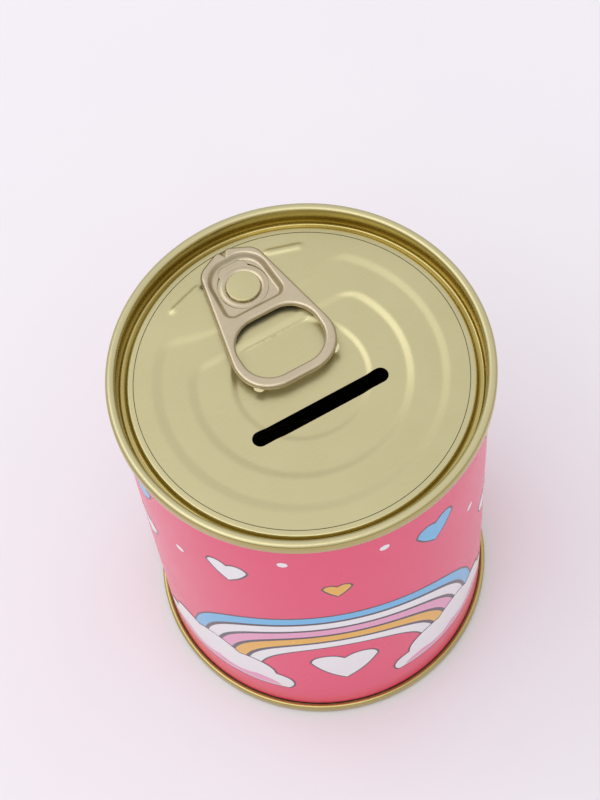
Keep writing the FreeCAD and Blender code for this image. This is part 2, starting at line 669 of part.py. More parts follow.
def make_rivet_tongue():
    """The lanced tongue of the tab: a disc under the rivet's head, rooted towards the nose."""
    body = make_body("rivet_tongue")
    disc = level_sketch(body, "tongue_disc", TONGUE_BOTTOM, RIVET_Y)
    circle_outline(disc, TONGUE_RADIUS)
    pad(body, disc, "Dims.tongue_plate")
    root = level_sketch(body, "tongue_root", TONGUE_BOTTOM, RIVET_Y)
    root_end = f"({SLIT_RADIUS} + Dims.bridge_length - Dims.slit_width)"
    bent_path(root, [
        ("-Dims.bridge_half", "0", None),
        ("Dims.bridge_half", "0", None),
        ("Dims.bridge_half", root_end, None),
        ("-Dims.bridge_half", root_end, None),
    ], closed=True)
    pad(body, root, "Dims.tongue_plate")
    crimp = level_sketch(body, "tongue_crimp", TONGUE_TOP, RIVET_Y)
    circle_outline(crimp, f"{CRIMP_INSIDE} + Dims.crimp_width")
    circle_outline(crimp, CRIMP_INSIDE)
    pad(body, crimp, "Dims.crimp_rise")
    hole = level_sketch(body, "tongue_hole", TONGUE_TOP, RIVET_Y)
    circle_outline(hole, f"{SHANK_RADIUS} + Dims.fit")
    pocket(body, hole)
    return body


def make_pull_tab():
    """The ring-pull tab: curled edges, finger hole, sunken island with the slit round the tongue."""
    body = make_body("pull_tab")
    outline = level_sketch(body, "tab_outline", TAB_BOTTOM, TIP_Y)
    bent_path(outline, both_sides([
        ("Dims.tail_half", f"-{TAB_LENGTH}", f"min(Dims.tail_bend; {TAIL_SHARE} * Dims.tail_half)"),
        ("Dims.shoulder_half", "-Dims.shoulder_drop", "Dims.shoulder_bend"),
        ("Dims.nose_half", "0", "Dims.nose_bend"),
    ]), closed=True)
    pad(body, outline, "Dims.tab_height")
    upper = ("Dims.edge_bend", (TAB_TOP,))
    lower = (f"min(Dims.curl_bend; {SIDE_SHARE} * Dims.tab_height)", (TAB_BOTTOM,))
    for bend, levels in (upper, lower):
        round_edges(body, "outer_curl", bend, "Dims.tail_half", "0", TAB_LENGTH, levels)
    hole = level_sketch(body, "finger_hole", TAB_TOP, TIP_Y)
    hole_bend = f"min({HOLE_CORNER}; {SIDE_SHARE} * 2 * {HOLE_HALF})"
    bent_path(hole, both_sides([
        (HOLE_HALF, f"-{HOLE_END}", hole_bend),
        (HOLE_HALF, f"-{HOLE_START}", hole_bend),
    ]), closed=True)
    pocket(body, hole)
    for bend, levels in (upper, lower):
        round_edges(body, "hole_curl", bend, HOLE_HALF, HOLE_START, HOLE_END, levels)
    island = level_sketch(body, "island", TAB_TOP, TIP_Y)
    island_back = f"({ISLAND_HALF} + Dims.island_flare)"
    front_bend = f"min(Dims.island_front_bend; {SIDE_SHARE} * 2 * {ISLAND_HALF})"
    bent_path(island, both_sides([
        (island_back, f"-{ISLAND_END}", "Dims.island_back_bend"),
        (ISLAND_HALF, "-Dims.nose_length", front_bend),
    ]), closed=True)
    pocket(body, island, "Dims.tab_height - Dims.tab_plate")
    round_edges(body, "island_edge", "Dims.island_edge", island_back,
                "Dims.nose_length", ISLAND_END, (TAB_TOP,))
    slit = level_sketch(body, "slit", TAB_TOP, RIVET_Y)
    circle_outline(slit, SLIT_RADIUS)
    pocket(body, slit)
    root = level_sketch(body, "root_gap", TAB_TOP, TIP_Y)
    root_half = "(Dims.bridge_half + Dims.slit_width)"
    bent_path(root, [
        (f"-{root_half}", f"-{RIVET_SETBACK}", None),
        (root_half, f"-{RIVET_SETBACK}", None),
        (root_half, "-Dims.nose_length", None),
        (f"-{root_half}", "-Dims.nose_length", None),
    ], closed=True)
    pocket(body, root)
    dimple = level_sketch(body, "nose_dimple", TAB_TOP, TIP_Y)
    bent_path(dimple, [
        ("0", "-Dims.dimple_length", None),
        ("Dims.dimple_half", "Dims.dimple_half", None),
        ("-Dims.dimple_half", "Dims.dimple_half", None),
    ], closed=True)
    pocket(body, dimple, "Dims.dimple_depth", "-Dims.dimple_angle")
    return body


NODES = {
    "can_body": make_can_body(),
    "printed_label": make_printed_label(),
    "bottom_end": make_bottom_end(),
    "base_seam_seal": make_seam_seal("base_seam_seal", from_floor),
    "lid_ring": make_lid_ring(),
    "lid_seam_seal": make_seam_seal("lid_seam_seal", from_top),
    "tear_panel": make_tear_panel(),
    "tab_rivet": make_tab_rivet(),
    "rivet_tongue": make_rivet_tongue(),
    "pull_tab": make_pull_tab(),
}
for node, piece in NODES.items():
    piece.Label = node
doc.recompute()

for item in doc.Objects:
    if "Invalid" in item.State or "Error" in item.State:
        raise RuntimeError(f"{item.Label} failed: {item.State}")
for node, piece in NODES.items():
    if piece.Shape.isNull() or not piece.Shape.isValid() or len(piece.Shape.Solids) != 1:
        raise RuntimeError(f"{node} is not one valid solid")

os.makedirs("parts", exist_ok=True)
for node, piece in NODES.items():
    piece.Shape.exportStep(os.path.join("parts", f"{node}.step"))
    box = piece.Shape.BoundBox
    print(f"{node}: volume {piece.Shape.Volume:.2f}, z {box.ZMin:.3f} to {box.ZMax:.3f}, "
          f"x {box.XMin:.3f} to {box.XMax:.3f}, y {box.YMin:.3f} to {box.YMax:.3f}")
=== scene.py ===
import math

import bmesh
import bpy
from mathutils import Matrix, Vector
from mathutils.kdtree import KDTree


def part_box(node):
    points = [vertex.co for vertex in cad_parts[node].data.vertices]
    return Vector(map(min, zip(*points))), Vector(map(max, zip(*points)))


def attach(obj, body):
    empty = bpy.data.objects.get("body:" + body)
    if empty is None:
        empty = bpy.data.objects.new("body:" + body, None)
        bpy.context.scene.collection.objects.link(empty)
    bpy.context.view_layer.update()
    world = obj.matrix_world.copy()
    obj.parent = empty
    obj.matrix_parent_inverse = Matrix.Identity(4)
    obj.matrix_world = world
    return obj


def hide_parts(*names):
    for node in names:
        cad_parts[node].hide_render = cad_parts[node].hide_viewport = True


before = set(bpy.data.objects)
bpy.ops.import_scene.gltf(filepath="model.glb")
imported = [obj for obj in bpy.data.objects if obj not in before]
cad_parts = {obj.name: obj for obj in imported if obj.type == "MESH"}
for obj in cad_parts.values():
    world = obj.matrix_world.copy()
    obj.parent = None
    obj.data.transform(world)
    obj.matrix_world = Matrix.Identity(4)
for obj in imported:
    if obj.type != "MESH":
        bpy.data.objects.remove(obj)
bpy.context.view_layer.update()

# A tin money box: a printed can whose ring-pull lid has a coin slot.
# Shapes are modelled in millimetres and scaled to metres when a piece is finished.

MM = 0.001
MERGE = 0.001
UP = Vector((0, 0, 1))
MIDDLE = Vector((0, 0, 0))


def box_mm(node):
    low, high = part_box(node)
    return low / MM, high / MM


# Sizes that the frame gives
RIM_RADIUS = box_mm("lid_ring")[1].x
CAN_TOP = box_mm("lid_ring")[1].z
PANEL_RADIUS = box_mm("tear_panel")[1].x
WRAP_RADIUS = -box_mm("printed_label")[0].x
TIP_Y = box_mm("pull_tab")[1].y
TAIL_Y = box_mm("pull_tab")[0].y
TAB_BOTTOM = box_mm("pull_tab")[0].z
TAB_TOP = box_mm("pull_tab")[1].z
RIVET_Y = (box_mm("tab_rivet")[0].y + box_mm("tab_rivet")[1].y) / 2
HEAD_RADIUS = box_mm("tab_rivet")[1].x
HEAD_TOP = box_mm("tab_rivet")[1].z
TONGUE_RADIUS = box_mm("rivet_tongue")[1].x
TONGUE_BOTTOM = box_mm("rivet_tongue")[0].z

# Seam and countersink of both ends, from the rim inwards
PLATE = 0.26
SEAM_HEIGHT = 3.0
SKIRT_INSIDE = RIM_RADIUS - PLATE
COVER_OUTSIDE = SKIRT_INSIDE - 0.76
COVER_TIP = 1.09
CHUCK_OUTSIDE = RIM_RADIUS - 1.65
GROOVE_OUTSIDE = CHUCK_OUTSIDE - 0.4
GROOVE_INSIDE = GROOVE_OUTSIDE - 1.75
LEDGE_CORNER = GROOVE_INSIDE - 0.15
SCORE_OUTSIDE = PANEL_RADIUS + 0.15
PANEL_DEPTH = 3.5
GROOVE_DEPTH = PANEL_DEPTH + 1.2
HOOK_BEND = 0.3
CROWN_BEND = 0.65
GROOVE_BEND = 0.75
LEDGE_BEND = 0.35
PANEL_TOP = CAN_TOP - PANEL_DEPTH

# Expansion beads of the bottom end
BASE_BEADS = (LEDGE_CORNER - 5.5, LEDGE_CORNER - 13.5)
BEAD_RUN = 1.2
BEAD_RISE = 0.55
BEAD_BEND = 0.6

# Stepped recesses pressed into the tear panel: radius, straight side, drop and width of the step
OUTER_RADIUS = PANEL_RADIUS - 3.4
MIDDLE_RADIUS = OUTER_RADIUS - 7.05
INNER_RADIUS = MIDDLE_RADIUS - 8.25
MIDDLE_CHORD = TIP_Y - 19.4
INNER_CHORD = MIDDLE_CHORD - 1.55
VEE_Y = MIDDLE_CHORD + 2.4
VEE_ANGLE = math.radians(17)
VEE_BEND = 8.0
STEP_CORNER = 3.2
OUTER_DROP, OUTER_RUN = 0.35, 2.3
MIDDLE_DROP, MIDDLE_RUN = 0.45, 2.1
INNER_DROP, INNER_RUN, CHORD_RUN = 0.35, 1.6, 0.45
STEP_SOFT = 0.25

# Wing beads beside the nose of the tab
WING_NEAR = Vector((8.1, TIP_Y - 4.4))
WING_LENGTH = 6.6
WING_ANGLE = math.radians(18)
WING_HALF = 1.15
WING_RISE = 0.34

# Coin slot
SLOT_HALF = 15.0
SLOT_WIDTH = 3.3
SLOT_Y = -7.6
SLOT_END_CUTS = 12

# Pull tab: half widths and bends of its outline, the finger hole and the sunken island
NOSE_HALF, NOSE_BEND = 1.5, 1.2
SHOULDER_HALF, SHOULDER_Y, SHOULDER_BEND = 6.6, TIP_Y - 2.5, 3.5
TAIL_HALF, TAIL_BEND = 12.5, 8.0
HOLE_HALF, HOLE_BEND = 8.7, 6.0
HOLE_BACK, HOLE_FRONT = TAIL_Y + 2.25, TAIL_Y + 16.0
ISLAND_FRONT, ISLAND_BACK = TIP_Y - 2.4, HOLE_FRONT + 2.5
ISLAND_FRONT_HALF, ISLAND_BACK_HALF = 5.7, 6.35
ISLAND_FRONT_BEND, ISLAND_BACK_BEND = 4.6, 1.8
ISLAND_WALL = 1.3
ISLAND_FLOOR = TONGUE_BOTTOM + 0.35
EDGE_ROLL = 0.7
CURL_ROLL = 0.65
HEM_WIDTH = 1.25
HEM_STEP = 0.3
WEB_HALF = 7.8
WEB_HOLLOW = 0.8
WEB_SLOPE = 2.0
LIP_PLATE = 0.25
DIMPLE_HALF, DIMPLE_LENGTH, DIMPLE_DEPTH = 1.3, 2.3, 0.65

# Tongue lanced in the island, and the slit round it, which opens towards the root
ROOT_HALF = 3.2
ROOT_END = ISLAND_FRONT - 0.65
ROOT_GAP = 0.06
ROOT_BEND = 1.7
SIDE_GAP = 0.03
SLIT_SHIFT = 0.2
CRIMP_RADIUS = 4.2
CRIMP_HALF = 0.5
CRIMP_RISE = 0.12
MOAT_HALF = 0.25
MOAT_DEPTH = 0.15

# Stubs left on the ring where it was cut from its strip
STUB_PLACE = Vector((8.47, TAIL_Y + 2.34))
STUB_HALF = 1.1
STUB_REACH = 0.62
STUB_GAP = 0.27
STUB_NECK = 0.17
STUB_PLATE = 0.3
STUB_CURVE_OUT, STUB_CURVE_ASIDE = 0.8, 0.7

# Rivet button
HEAD_DEPTH = 0.45
HEAD_BEND = 0.22
SHANK_RADIUS = HEAD_RADIUS - 1.1

# Thin metal left under the score, a hair below the panel and held by the ledge outside it
SCORE_WEB_INSIDE = PANEL_RADIUS - 0.4
SCORE_WEB_OUTSIDE = PANEL_RADIUS + 0.5
SCORE_WEB_PLATE = 0.07
SCORE_WEB_DROP = 0.02
SCORE_WEB_HOLD = SCORE_OUTSIDE + 0.01

# Fineness of the turned and pressed meshes
BLANK_STEPS = 20
BLANK_GRID = 0.2
EDGE_STEP = 0.03
TURN_STEPS = 288
BEND_STEPS = 8
PANEL_RINGS = 116
PANEL_STEPS = 360
SHARP_ANGLE = math.radians(38)
SHADE_FACING = 0.5

# Printed design, on the wrap laid flat: lengths round the can from the front, and heights
FRONT_ANGLE = math.radians(-113.6)
KEYLINE = 0.45
INK_FILM = 0.008
INK_LAYER = 0.012
CUT_WIDTH = 1.2
ARC_STEP = 0.9
ARC_LEAST = 3

# Shapes of the design for a size of 1: each corner's place, and the bulge of the side that follows it
CLOUD_PUFFS = ((-1.0, 0.0, 0.0), (1.0, 0.0, 0.62), (0.86, 0.48, 0.55), (0.36, 0.8, 0.5),
               (-0.3, 0.86, 0.55), (-0.84, 0.46, 0.62))
CLOUD_SHADE = ((-0.9, 0.05, 0.0), (0.9, 0.05, 0.3), (0.55, 0.26, -0.28), (0.0, 0.24, -0.28),
               (-0.55, 0.22, 0.3))
HEART_SIDES = ((0, -0.95, 0.12), (0.9, 0.3, 0.78), (0, 0.55, 0.78), (-0.9, 0.3, 0.12))
HALF_TURN = 1.0

# Air balloon, in shares of its radius, with the bulges of its outline
ENVELOPE_DROP, THROAT_HALF = 1.75, 0.24
FLANK_BULGE, CROWN_BULGE = 0.21, 0.414
BASKET_TOP, BASKET_LOW, BASKET_HALF = 0.45, 0.8, 0.23
BASKET_TAPER, BASKET_SAG = 0.8, 0.1
ROPE_INSET = 0.85
ROPE_WIDTH = 0.5

# Where the shapes are printed
RAINBOW_RADIUS, RAINBOW_BAND = 37, 3.6
CLOUD_LAYER = 3
BIG_HEART = (2, 27, 8.5, "white")
HEARTS = ((-20, 74, 5.2, "white"), (24, 77, 5.6, "sky"), (-45, 60, 4.6, "white"), (46, 50, 4.8, "white"),
          (2, 70, 3.6, "gold"), (48, 80, 4.2, "gold"), (-42, 82, 4.0, "sky"), (106, 52, 5.0, "white"),
          (108, 80, 4.2, "sky"), (-95, 46, 4.2, "gold"), (-96, 84, 3.8, "white"), (115, 26, 4.0, "gold"))
DOTS = ((-8, 84), (12, 84), (-32, 70), (36, 66), (-55, 74), (60, 86), (56, 40), (-54, 42), (98, 70),
        (117, 66), (-96, 64), (116, 42))
DOT_RADIUS = 1.1

# Camera, as the photograph was taken
LENS = 85.5
SENSOR = 36.0
CAMERA_TURN = math.radians(-23.6 + 0.285)
CAMERA_TILT = math.radians(90 - 62.27)
CAMERA_ROLL = math.radians(-7.185)
CAMERA_PLACE = Vector((-70.5, -161.5, 416.9))

# Room light by height on the sky, from 0 at the horizon to 1 overhead, with a pale band low down
ROOM_LOW, ROOM_HIGH = 0.42, 1.01
ROOM_DIM_HEIGHT, ROOM_FULL_HEIGHT = 0.05, 0.5
SKIRTING_LIGHT, SKIRTING_TOP, SKIRTING_END = 0.88, 0.06, 0.12
FLOOR_HALF = 4.0

# Lamps: place, length and width in metres, and power in watts
SOFT_BOXES = (("side_soft_box", Vector((-0.52, 0.15, 1.0)), 1.5, 0.5, 3.0),
              ("top_soft_box", Vector((-0.12, -0.28, 1.15)), 0.4, 0.4, 0.75))


def linear(code):
    """An sRGB hex colour as the linear colour that shaders take."""
    parts = [int(code[i:i + 2], 16) / 255 for i in (1, 3, 5)]
    return tuple(c / 12.92 if c <= 0.04045 else ((c + 0.055) / 1.055) ** 2.4 for c in parts) + (1.0,)


def add_node(tree, kind, inputs=None, **settings):
    """A shader node with its settings, and values or links for its inputs."""
    made = tree.nodes.new(kind)
    for name, value in settings.items():
        setattr(made, name, value)
    for socket, value in (inputs or {}).items():
        if isinstance(value, bpy.types.NodeSocket):
            tree.links.new(value, made.inputs[socket])
        else:
            made.inputs[socket].default_value = value
    return made


def new_material(name):
    material = bpy.data.materials.new(name)
    material.use_nodes = True
    tree = material.node_tree
    tree.nodes.clear()
    return material, tree


def close_material(tree, shader):
    add_node(tree, "ShaderNodeOutputMaterial", {"Surface": shader.outputs["BSDF"]})


def rolled_tinplate(name, shade, tint, rough, coat):
    """Tinplate rolled to a fine grain and lacquered: a satin metal with faint streaks one way.

    The real grain is a few hundredths of a millimetre; it is drawn 0.12 mm wide so that it shows.
    """
    grain, grain_length, patch, grain_depth = 0.12, 3.0, 14.0, 0.02
    material, tree = new_material(name)
    place = add_node(tree, "ShaderNodeTexCoord").outputs["Object"]
    along = add_node(tree, "ShaderNodeMapping", {
        "Vector": place,
        "Scale": (1 / (grain_length * MM), 1 / (grain * MM), 1 / (grain * MM)),
    }).outputs["Vector"]
    streaks = add_node(tree, "ShaderNodeTexNoise", {"Vector": along, "Scale": 1.0, "Detail": 3.0})
    patches = add_node(tree, "ShaderNodeTexNoise", {
        "Vector": place, "Scale": 1 / (patch * MM), "Detail": 2.0})
    mixed = add_node(tree, "ShaderNodeMath", {0: streaks.outputs["Fac"], 1: patches.outputs["Fac"]},
                     operation="MULTIPLY")
    colour = add_node(tree, "ShaderNodeMapRange", {
        "Value": mixed.outputs[0], "From Min": 0.12, "From Max": 0.4})
    base = add_node(tree, "ShaderNodeMix", {
        "Factor": colour.outputs[0], "A": linear(tint), "B": linear(shade)}, data_type="RGBA")
    roughness = add_node(tree, "ShaderNodeMapRange", {
        "Value": streaks.outputs["Fac"], "From Min": 0.3, "From Max": 0.7,
        "To Min": rough - 0.03, "To Max": rough + 0.05})
    bump = add_node(tree, "ShaderNodeBump", {
        "Height": streaks.outputs["Fac"], "Strength": 0.03, "Distance": grain_depth * MM})
    shader = add_node(tree, "ShaderNodeBsdfPrincipled", {
        "Base Color": base.outputs["Result"], "Metallic": 1.0, "Roughness": roughness.outputs[0],
        "Normal": bump.outputs["Normal"], "Coat Weight": coat, "Coat Roughness": 0.2})
    close_material(tree, shader)
    return material


def printed_film(name, shade):
    """Gloss-laminated print on paper: even ink with a faint halftone and the film's slight ripple."""
    dot, ripple, ripple_depth = 0.3, 9.0, 0.05
    material, tree = new_material(name)
    place = add_node(tree, "ShaderNodeTexCoord").outputs["Object"]
    dots = add_node(tree, "ShaderNodeTexVoronoi", {"Vector": place, "Scale": 1 / (dot * MM)})
    waves = add_node(tree, "ShaderNodeTexNoise", {
        "Vector": place, "Scale": 1 / (ripple * MM), "Detail": 1.0})
    tone = add_node(tree, "ShaderNodeMapRange", {
        "Value": dots.outputs["Distance"], "From Max": 0.8, "To Min": 1.03, "To Max": 0.97})
    ink = add_node(tree, "ShaderNodeVectorMath", {0: linear(shade)[:3], "Scale": tone.outputs[0]},
                   operation="SCALE")
    bump = add_node(tree, "ShaderNodeBump", {
        "Height": waves.outputs["Fac"], "Strength": 0.08, "Distance": ripple_depth * MM})
    rough = add_node(tree, "ShaderNodeMapRange", {
        "Value": waves.outputs["Fac"], "To Min": 0.2, "To Max": 0.3})
    shader = add_node(tree, "ShaderNodeBsdfPrincipled", {
        "Base Color": ink.outputs["Vector"], "Roughness": rough.outputs[0],
        "Normal": bump.outputs["Normal"], "IOR": 1.5, "Specular IOR Level": 0.32,
        "Coat Weight": 0.04, "Coat Roughness": 0.1})
    close_material(tree, shader)
    return material


def sealing_rubber():
    """Cured sealing compound: matt, dark and slightly grainy."""
    grit, grit_depth = 0.2, 0.05
    material, tree = new_material("cast_sealing_rubber")
    place = add_node(tree, "ShaderNodeTexCoord").outputs["Object"]
    grain = add_node(tree, "ShaderNodeTexNoise", {
        "Vector": place, "Scale": 1 / (grit * MM), "Detail": 4.0})
    base = add_node(tree, "ShaderNodeMix", {
        "Factor": grain.outputs["Fac"], "A": linear("#38342F"), "B": linear("#57514A")}, data_type="RGBA")
    bump = add_node(tree, "ShaderNodeBump", {
        "Height": grain.outputs["Fac"], "Strength": 0.3, "Distance": grit_depth * MM})
    shader = add_node(tree, "ShaderNodeBsdfPrincipled", {
        "Base Color": base.outputs["Result"], "Roughness": 0.75, "Normal": bump.outputs["Normal"]})
    close_material(tree, shader)
    return material


# Pale gold lacquer on the ends: a satin sheen that spreads highlights into soft bands
GOLD_LACQUER = rolled_tinplate("gold_lacquered_tinplate", "#C3BB90", "#C9C196", 0.36, 0.1)
# Painted shade: a dull, dark brownish lacquer colour on faces inside the can, under the tab's web and in
# the score, where only shade falls
INNER_PAINTED_SHADE = rolled_tinplate("dark_inner_painted_shade", "#6E6758", "#7A7363", 0.5, 0.0)
# Painted shade: a deeper, glossier gold on the seam and the countersink walls, darker where these walls lie
# in shade
WALL_GOLD_PAINTED_SHADE = rolled_tinplate("deeper_gold_painted_shade", "#B0A062", "#BDAE72", 0.2, 0.1)
# Champagne lacquer on the tab: warmer and pinker than the lid
CHAMPAGNE = rolled_tinplate("champagne_lacquered_tab_plate", "#BDB095", "#C9BCA2", 0.34, 0.1)
# Painted highlight: a paler cream metal on the stubs where the ring was cut from its strip, standing for
# the small bright glints there
STUB_PAINTED_HIGHLIGHT = rolled_tinplate("stub_metal_painted_highlight", "#D6CDA8", "#E4DCB8", 0.2, 0.0)
# Plain tin outside the tube, which shows only in the gaps at the seams
BARE_TIN = rolled_tinplate("welded_tinplate_tube", "#C9C6BC", "#DAD8CF", 0.33, 0.05)
# Printed colours under one gloss film: flat, bright and lightly shiny
WRAP_PINK = printed_film("gloss_film_pink_print", "#E7466E")
INKS = {
    "keyline": printed_film("gloss_film_grey_keyline", "#4E4852"),
    "white": printed_film("gloss_film_white_print", "#EDEBED"),
    "sky": printed_film("gloss_film_sky_blue_print", "#6BB9E8"),
    "gold": printed_film("gloss_film_gold_yellow_print", "#EBB245"),
    "lilac": printed_film("gloss_film_lilac_pink_print", "#E8A0C2"),
    "peach": printed_film("gloss_film_peach_print", "#EFC3A4"),
}
RUBBER = sealing_rubber()


def set_shading(bm):
    """Smooth faces that stay crisp along sharp edges."""
    for face in bm.faces:
        face.smooth = True
    for edge in bm.edges:
        edge.smooth = edge.calc_face_angle(0) < SHARP_ANGLE


def finish_piece(bm, name, body, materials, nodes=(), scale=MM):
    """Turn a bmesh into a piece that rides on a body and stands for CAD nodes."""
    bmesh.ops.scale(bm, vec=(scale, scale, scale), verts=bm.verts)
    set_shading(bm)
    mesh = bpy.data.meshes.new(name)
    bm.to_mesh(mesh)
    bm.free()
    for material in materials:
        mesh.materials.append(material)
    piece = bpy.data.objects.new(name, mesh)
    bpy.context.scene.collection.objects.link(piece)
    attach(piece, body)
    if nodes:
        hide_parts(*nodes)
    return piece


def whole(bm):
    return bm.verts[:] + bm.edges[:] + bm.faces[:]


def only_verts(geometry):
    return [item for item in geometry if isinstance(item, bmesh.types.BMVert)]


def paint_shade_inside(bm, way):
    """Give the faces that look a given way, into the can, the second material: painted shade, the dark
    inner colour.
    """
    for face in bm.faces:
        if face.normal.dot(way(face.calc_center_median())) > SHADE_FACING:
            face.material_index = 1


def to_axis(place):
    return Vector((-place.x, -place.y, 0)).normalized()


def upwards(place):
    return UP


def downwards(place):
    return -UP


def copied_piece(node, name, body, materials, inside=None):
    """A CAD solid with its triangles merged, shaded smooth over its rounds and flat on its faces."""
    bm = bmesh.new()
    bm.from_mesh(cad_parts[node].data)
    bmesh.ops.remove_doubles(bm, verts=bm.verts, dist=MERGE * MM)
    bm.normal_update()
    if inside:
        paint_shade_inside(bm, inside)
    piece = finish_piece(bm, name, body, materials, [node], scale=1)
    piece.modifiers.new("flat_faces", "WEIGHTED_NORMAL").keep_sharp = True
    return piece


def rounded_outline(places, bends, steps):
    """A flat face through places, with the corners between the first and the last rounded."""
    bm = bmesh.new()
    verts = [bm.verts.new(place) for place in places]
    bm.faces.new(verts)
    runs = [after.co - before.co for before, after in zip(verts, verts[1:])]
    turns = [before.angle(after) for before, after in zip(runs, runs[1:])]
    for vert, turn, bend in zip(verts[1:], turns, bends[1:]):
        if bend:
            bmesh.ops.bevel(bm, geom=[vert], offset=bend * math.tan(turn / 2), offset_type="OFFSET",
                            affect="VERTICES", segments=steps, profile=0.5, material=-1)
    return bm, verts


def bent_strip(corners):
    """A path of straight runs in the XZ plane, with each corner rounded to its bend radius."""
    places = [(radius, 0, height) for radius, height, bend in corners]
    bm, verts = rounded_outline(places, [bend for radius, height, bend in corners], BEND_STEPS)
    bmesh.ops.delete(bm, geom=[bm.edges.get((verts[0], verts[-1]))], context="EDGES")
    return bm


def spin_round(bm, steps=TURN_STEPS):
    bmesh.ops.spin(bm, geom=bm.verts[:] + bm.edges[:], cent=MIDDLE, axis=UP, angle=math.tau,
                   steps=steps, use_merge=True, use_duplicate=False)
    bmesh.ops.remove_doubles(bm, verts=bm.verts, dist=MERGE)
    bmesh.ops.recalc_face_normals(bm, faces=bm.faces)


def end_corners(level):
    """The path of an end's inner face, from the tip of its cover hook in to the ledge."""
    return [
        (COVER_OUTSIDE, level(COVER_TIP), None),
        (COVER_OUTSIDE, level(SEAM_HEIGHT - PLATE), HOOK_BEND),
        (SKIRT_INSIDE, level(SEAM_HEIGHT - PLATE), HOOK_BEND),
        (SKIRT_INSIDE, level(PLATE), CROWN_BEND),
        (CHUCK_OUTSIDE, level(PLATE), CROWN_BEND),
        (GROOVE_OUTSIDE, level(GROOVE_DEPTH + PLATE), GROOVE_BEND),
        (GROOVE_INSIDE, level(GROOVE_DEPTH + PLATE), GROOVE_BEND),
        (LEDGE_CORNER, level(PANEL_DEPTH + PLATE), LEDGE_BEND),
    ]


def from_top(depth):
    return CAN_TOP - depth


def from_floor(depth):
    return depth


def stamp_end(corners):
    """An end spun from the path of its inner face, with the plate's thickness added outside."""
    bm = bent_strip(corners)
    spin_round(bm)
    bmesh.ops.reverse_faces(bm, faces=bm.faces[:])
    bmesh.ops.solidify(bm, geom=bm.faces[:], thickness=PLATE)
    return bm


def make_lid_ring():
    """The lid outside its score, with a deeper gold painted as shade on its countersink walls and outer
    skirt.
    """
    bm = stamp_end(end_corners(from_top) + [(SCORE_OUTSIDE, from_top(PANEL_DEPTH + PLATE), None)])
    # Painted shade: the countersink walls and the outer skirt take the deeper gold.
    for face in bm.faces:
        radius = face.calc_center_median().xy.length
        face.material_index = int(LEDGE_CORNER < radius < CHUCK_OUTSIDE or radius > SKIRT_INSIDE)
    return finish_piece(bm, "lid_seam_and_countersink", "can",
                        [GOLD_LACQUER, WALL_GOLD_PAINTED_SHADE], ["lid_ring"])


def make_bottom_end():
    """The plain end: the same seam, and a middle raised in two steps."""
    corners = end_corners(from_floor)
    depth = PANEL_DEPTH + PLATE
    for edge in BASE_BEADS:
        corners.append((edge, depth, BEAD_BEND))
        depth += BEAD_RISE
        corners.append((edge - BEAD_RUN, depth, BEAD_BEND))
    corners.append((0, depth, None))
    bm = stamp_end(corners)
    # Painted shade: faces looking up, into the can, take the dark inner colour.
    paint_shade_inside(bm, upwards)
    # Painted shade: the seam outside the chuck wall takes the deeper gold.
    for face in bm.faces:
        if face.calc_center_median().xy.length > CHUCK_OUTSIDE:
            face.material_index = 2
    return finish_piece(bm, "beaded_bottom_end", "can",
                        [GOLD_LACQUER, INNER_PAINTED_SHADE, WALL_GOLD_PAINTED_SHADE], ["bottom_end"])


def ease(share):
    """A step from 0 to 1 with soft ends."""
    share = min(max(share, 0), 1)
    return share * share * (3 - 2 * share)


def ramp(share):
    """A straight step from 0 to 1 with only its ends softened."""
    share = min(max(share, 0), 1)
    near = min(share, 1 - share)
    soft = min(near, STEP_SOFT)
    rise = (near - soft + soft * soft / (2 * STEP_SOFT)) / (1 - STEP_SOFT)
    return rise if share < 0.5 else 1 - rise


def round_corner(first, second, bend):
    """The depth inside two sides at once, with the corner between them rounded."""
    reach = math.hypot(max(bend - first, 0), max(bend - second, 0))
    return max(bend, min(first, second)) - reach if min(first, second) < bend else min(first, second)


def join_sides(first, second, bend):
    """The depth inside either of two sides, with the corner between them filled round."""
    reach = math.hypot(max(bend + first, 0), max(bend + second, 0))
    return min(-bend, max(first, second)) + reach if max(first, second) > -bend else max(first, second)


def pressed_height(x, y):
    """How far the panel's face stands above its flat rim at a place."""
    radius = math.hypot(x, y)
    fall = (VEE_Y - y) * math.cos(VEE_ANGLE)
    lean = x * math.sin(VEE_ANGLE)
    vee = join_sides(fall + lean, fall - lean, VEE_BEND)
    outer = round_corner(OUTER_RADIUS - radius, vee, STEP_CORNER)
    middle = round_corner(MIDDLE_RADIUS - radius, MIDDLE_CHORD - y, STEP_CORNER)
    inner = round_corner((INNER_RADIUS - radius) / INNER_RUN, (INNER_CHORD - y) / CHORD_RUN, 1)
    wing_way = Vector((math.cos(WING_ANGLE), -math.sin(WING_ANGLE)))
    offset = Vector((abs(x), y)) - WING_NEAR
    along = min(max(offset.dot(wing_way), 0), WING_LENGTH)
    wing = WING_HALF - (offset - wing_way * along).length
    drop = OUTER_DROP * ramp(outer / OUTER_RUN) + MIDDLE_DROP * ramp(middle / MIDDLE_RUN)
    return WING_RISE * ramp(wing / WING_HALF) - drop - INNER_DROP * ramp(inner)


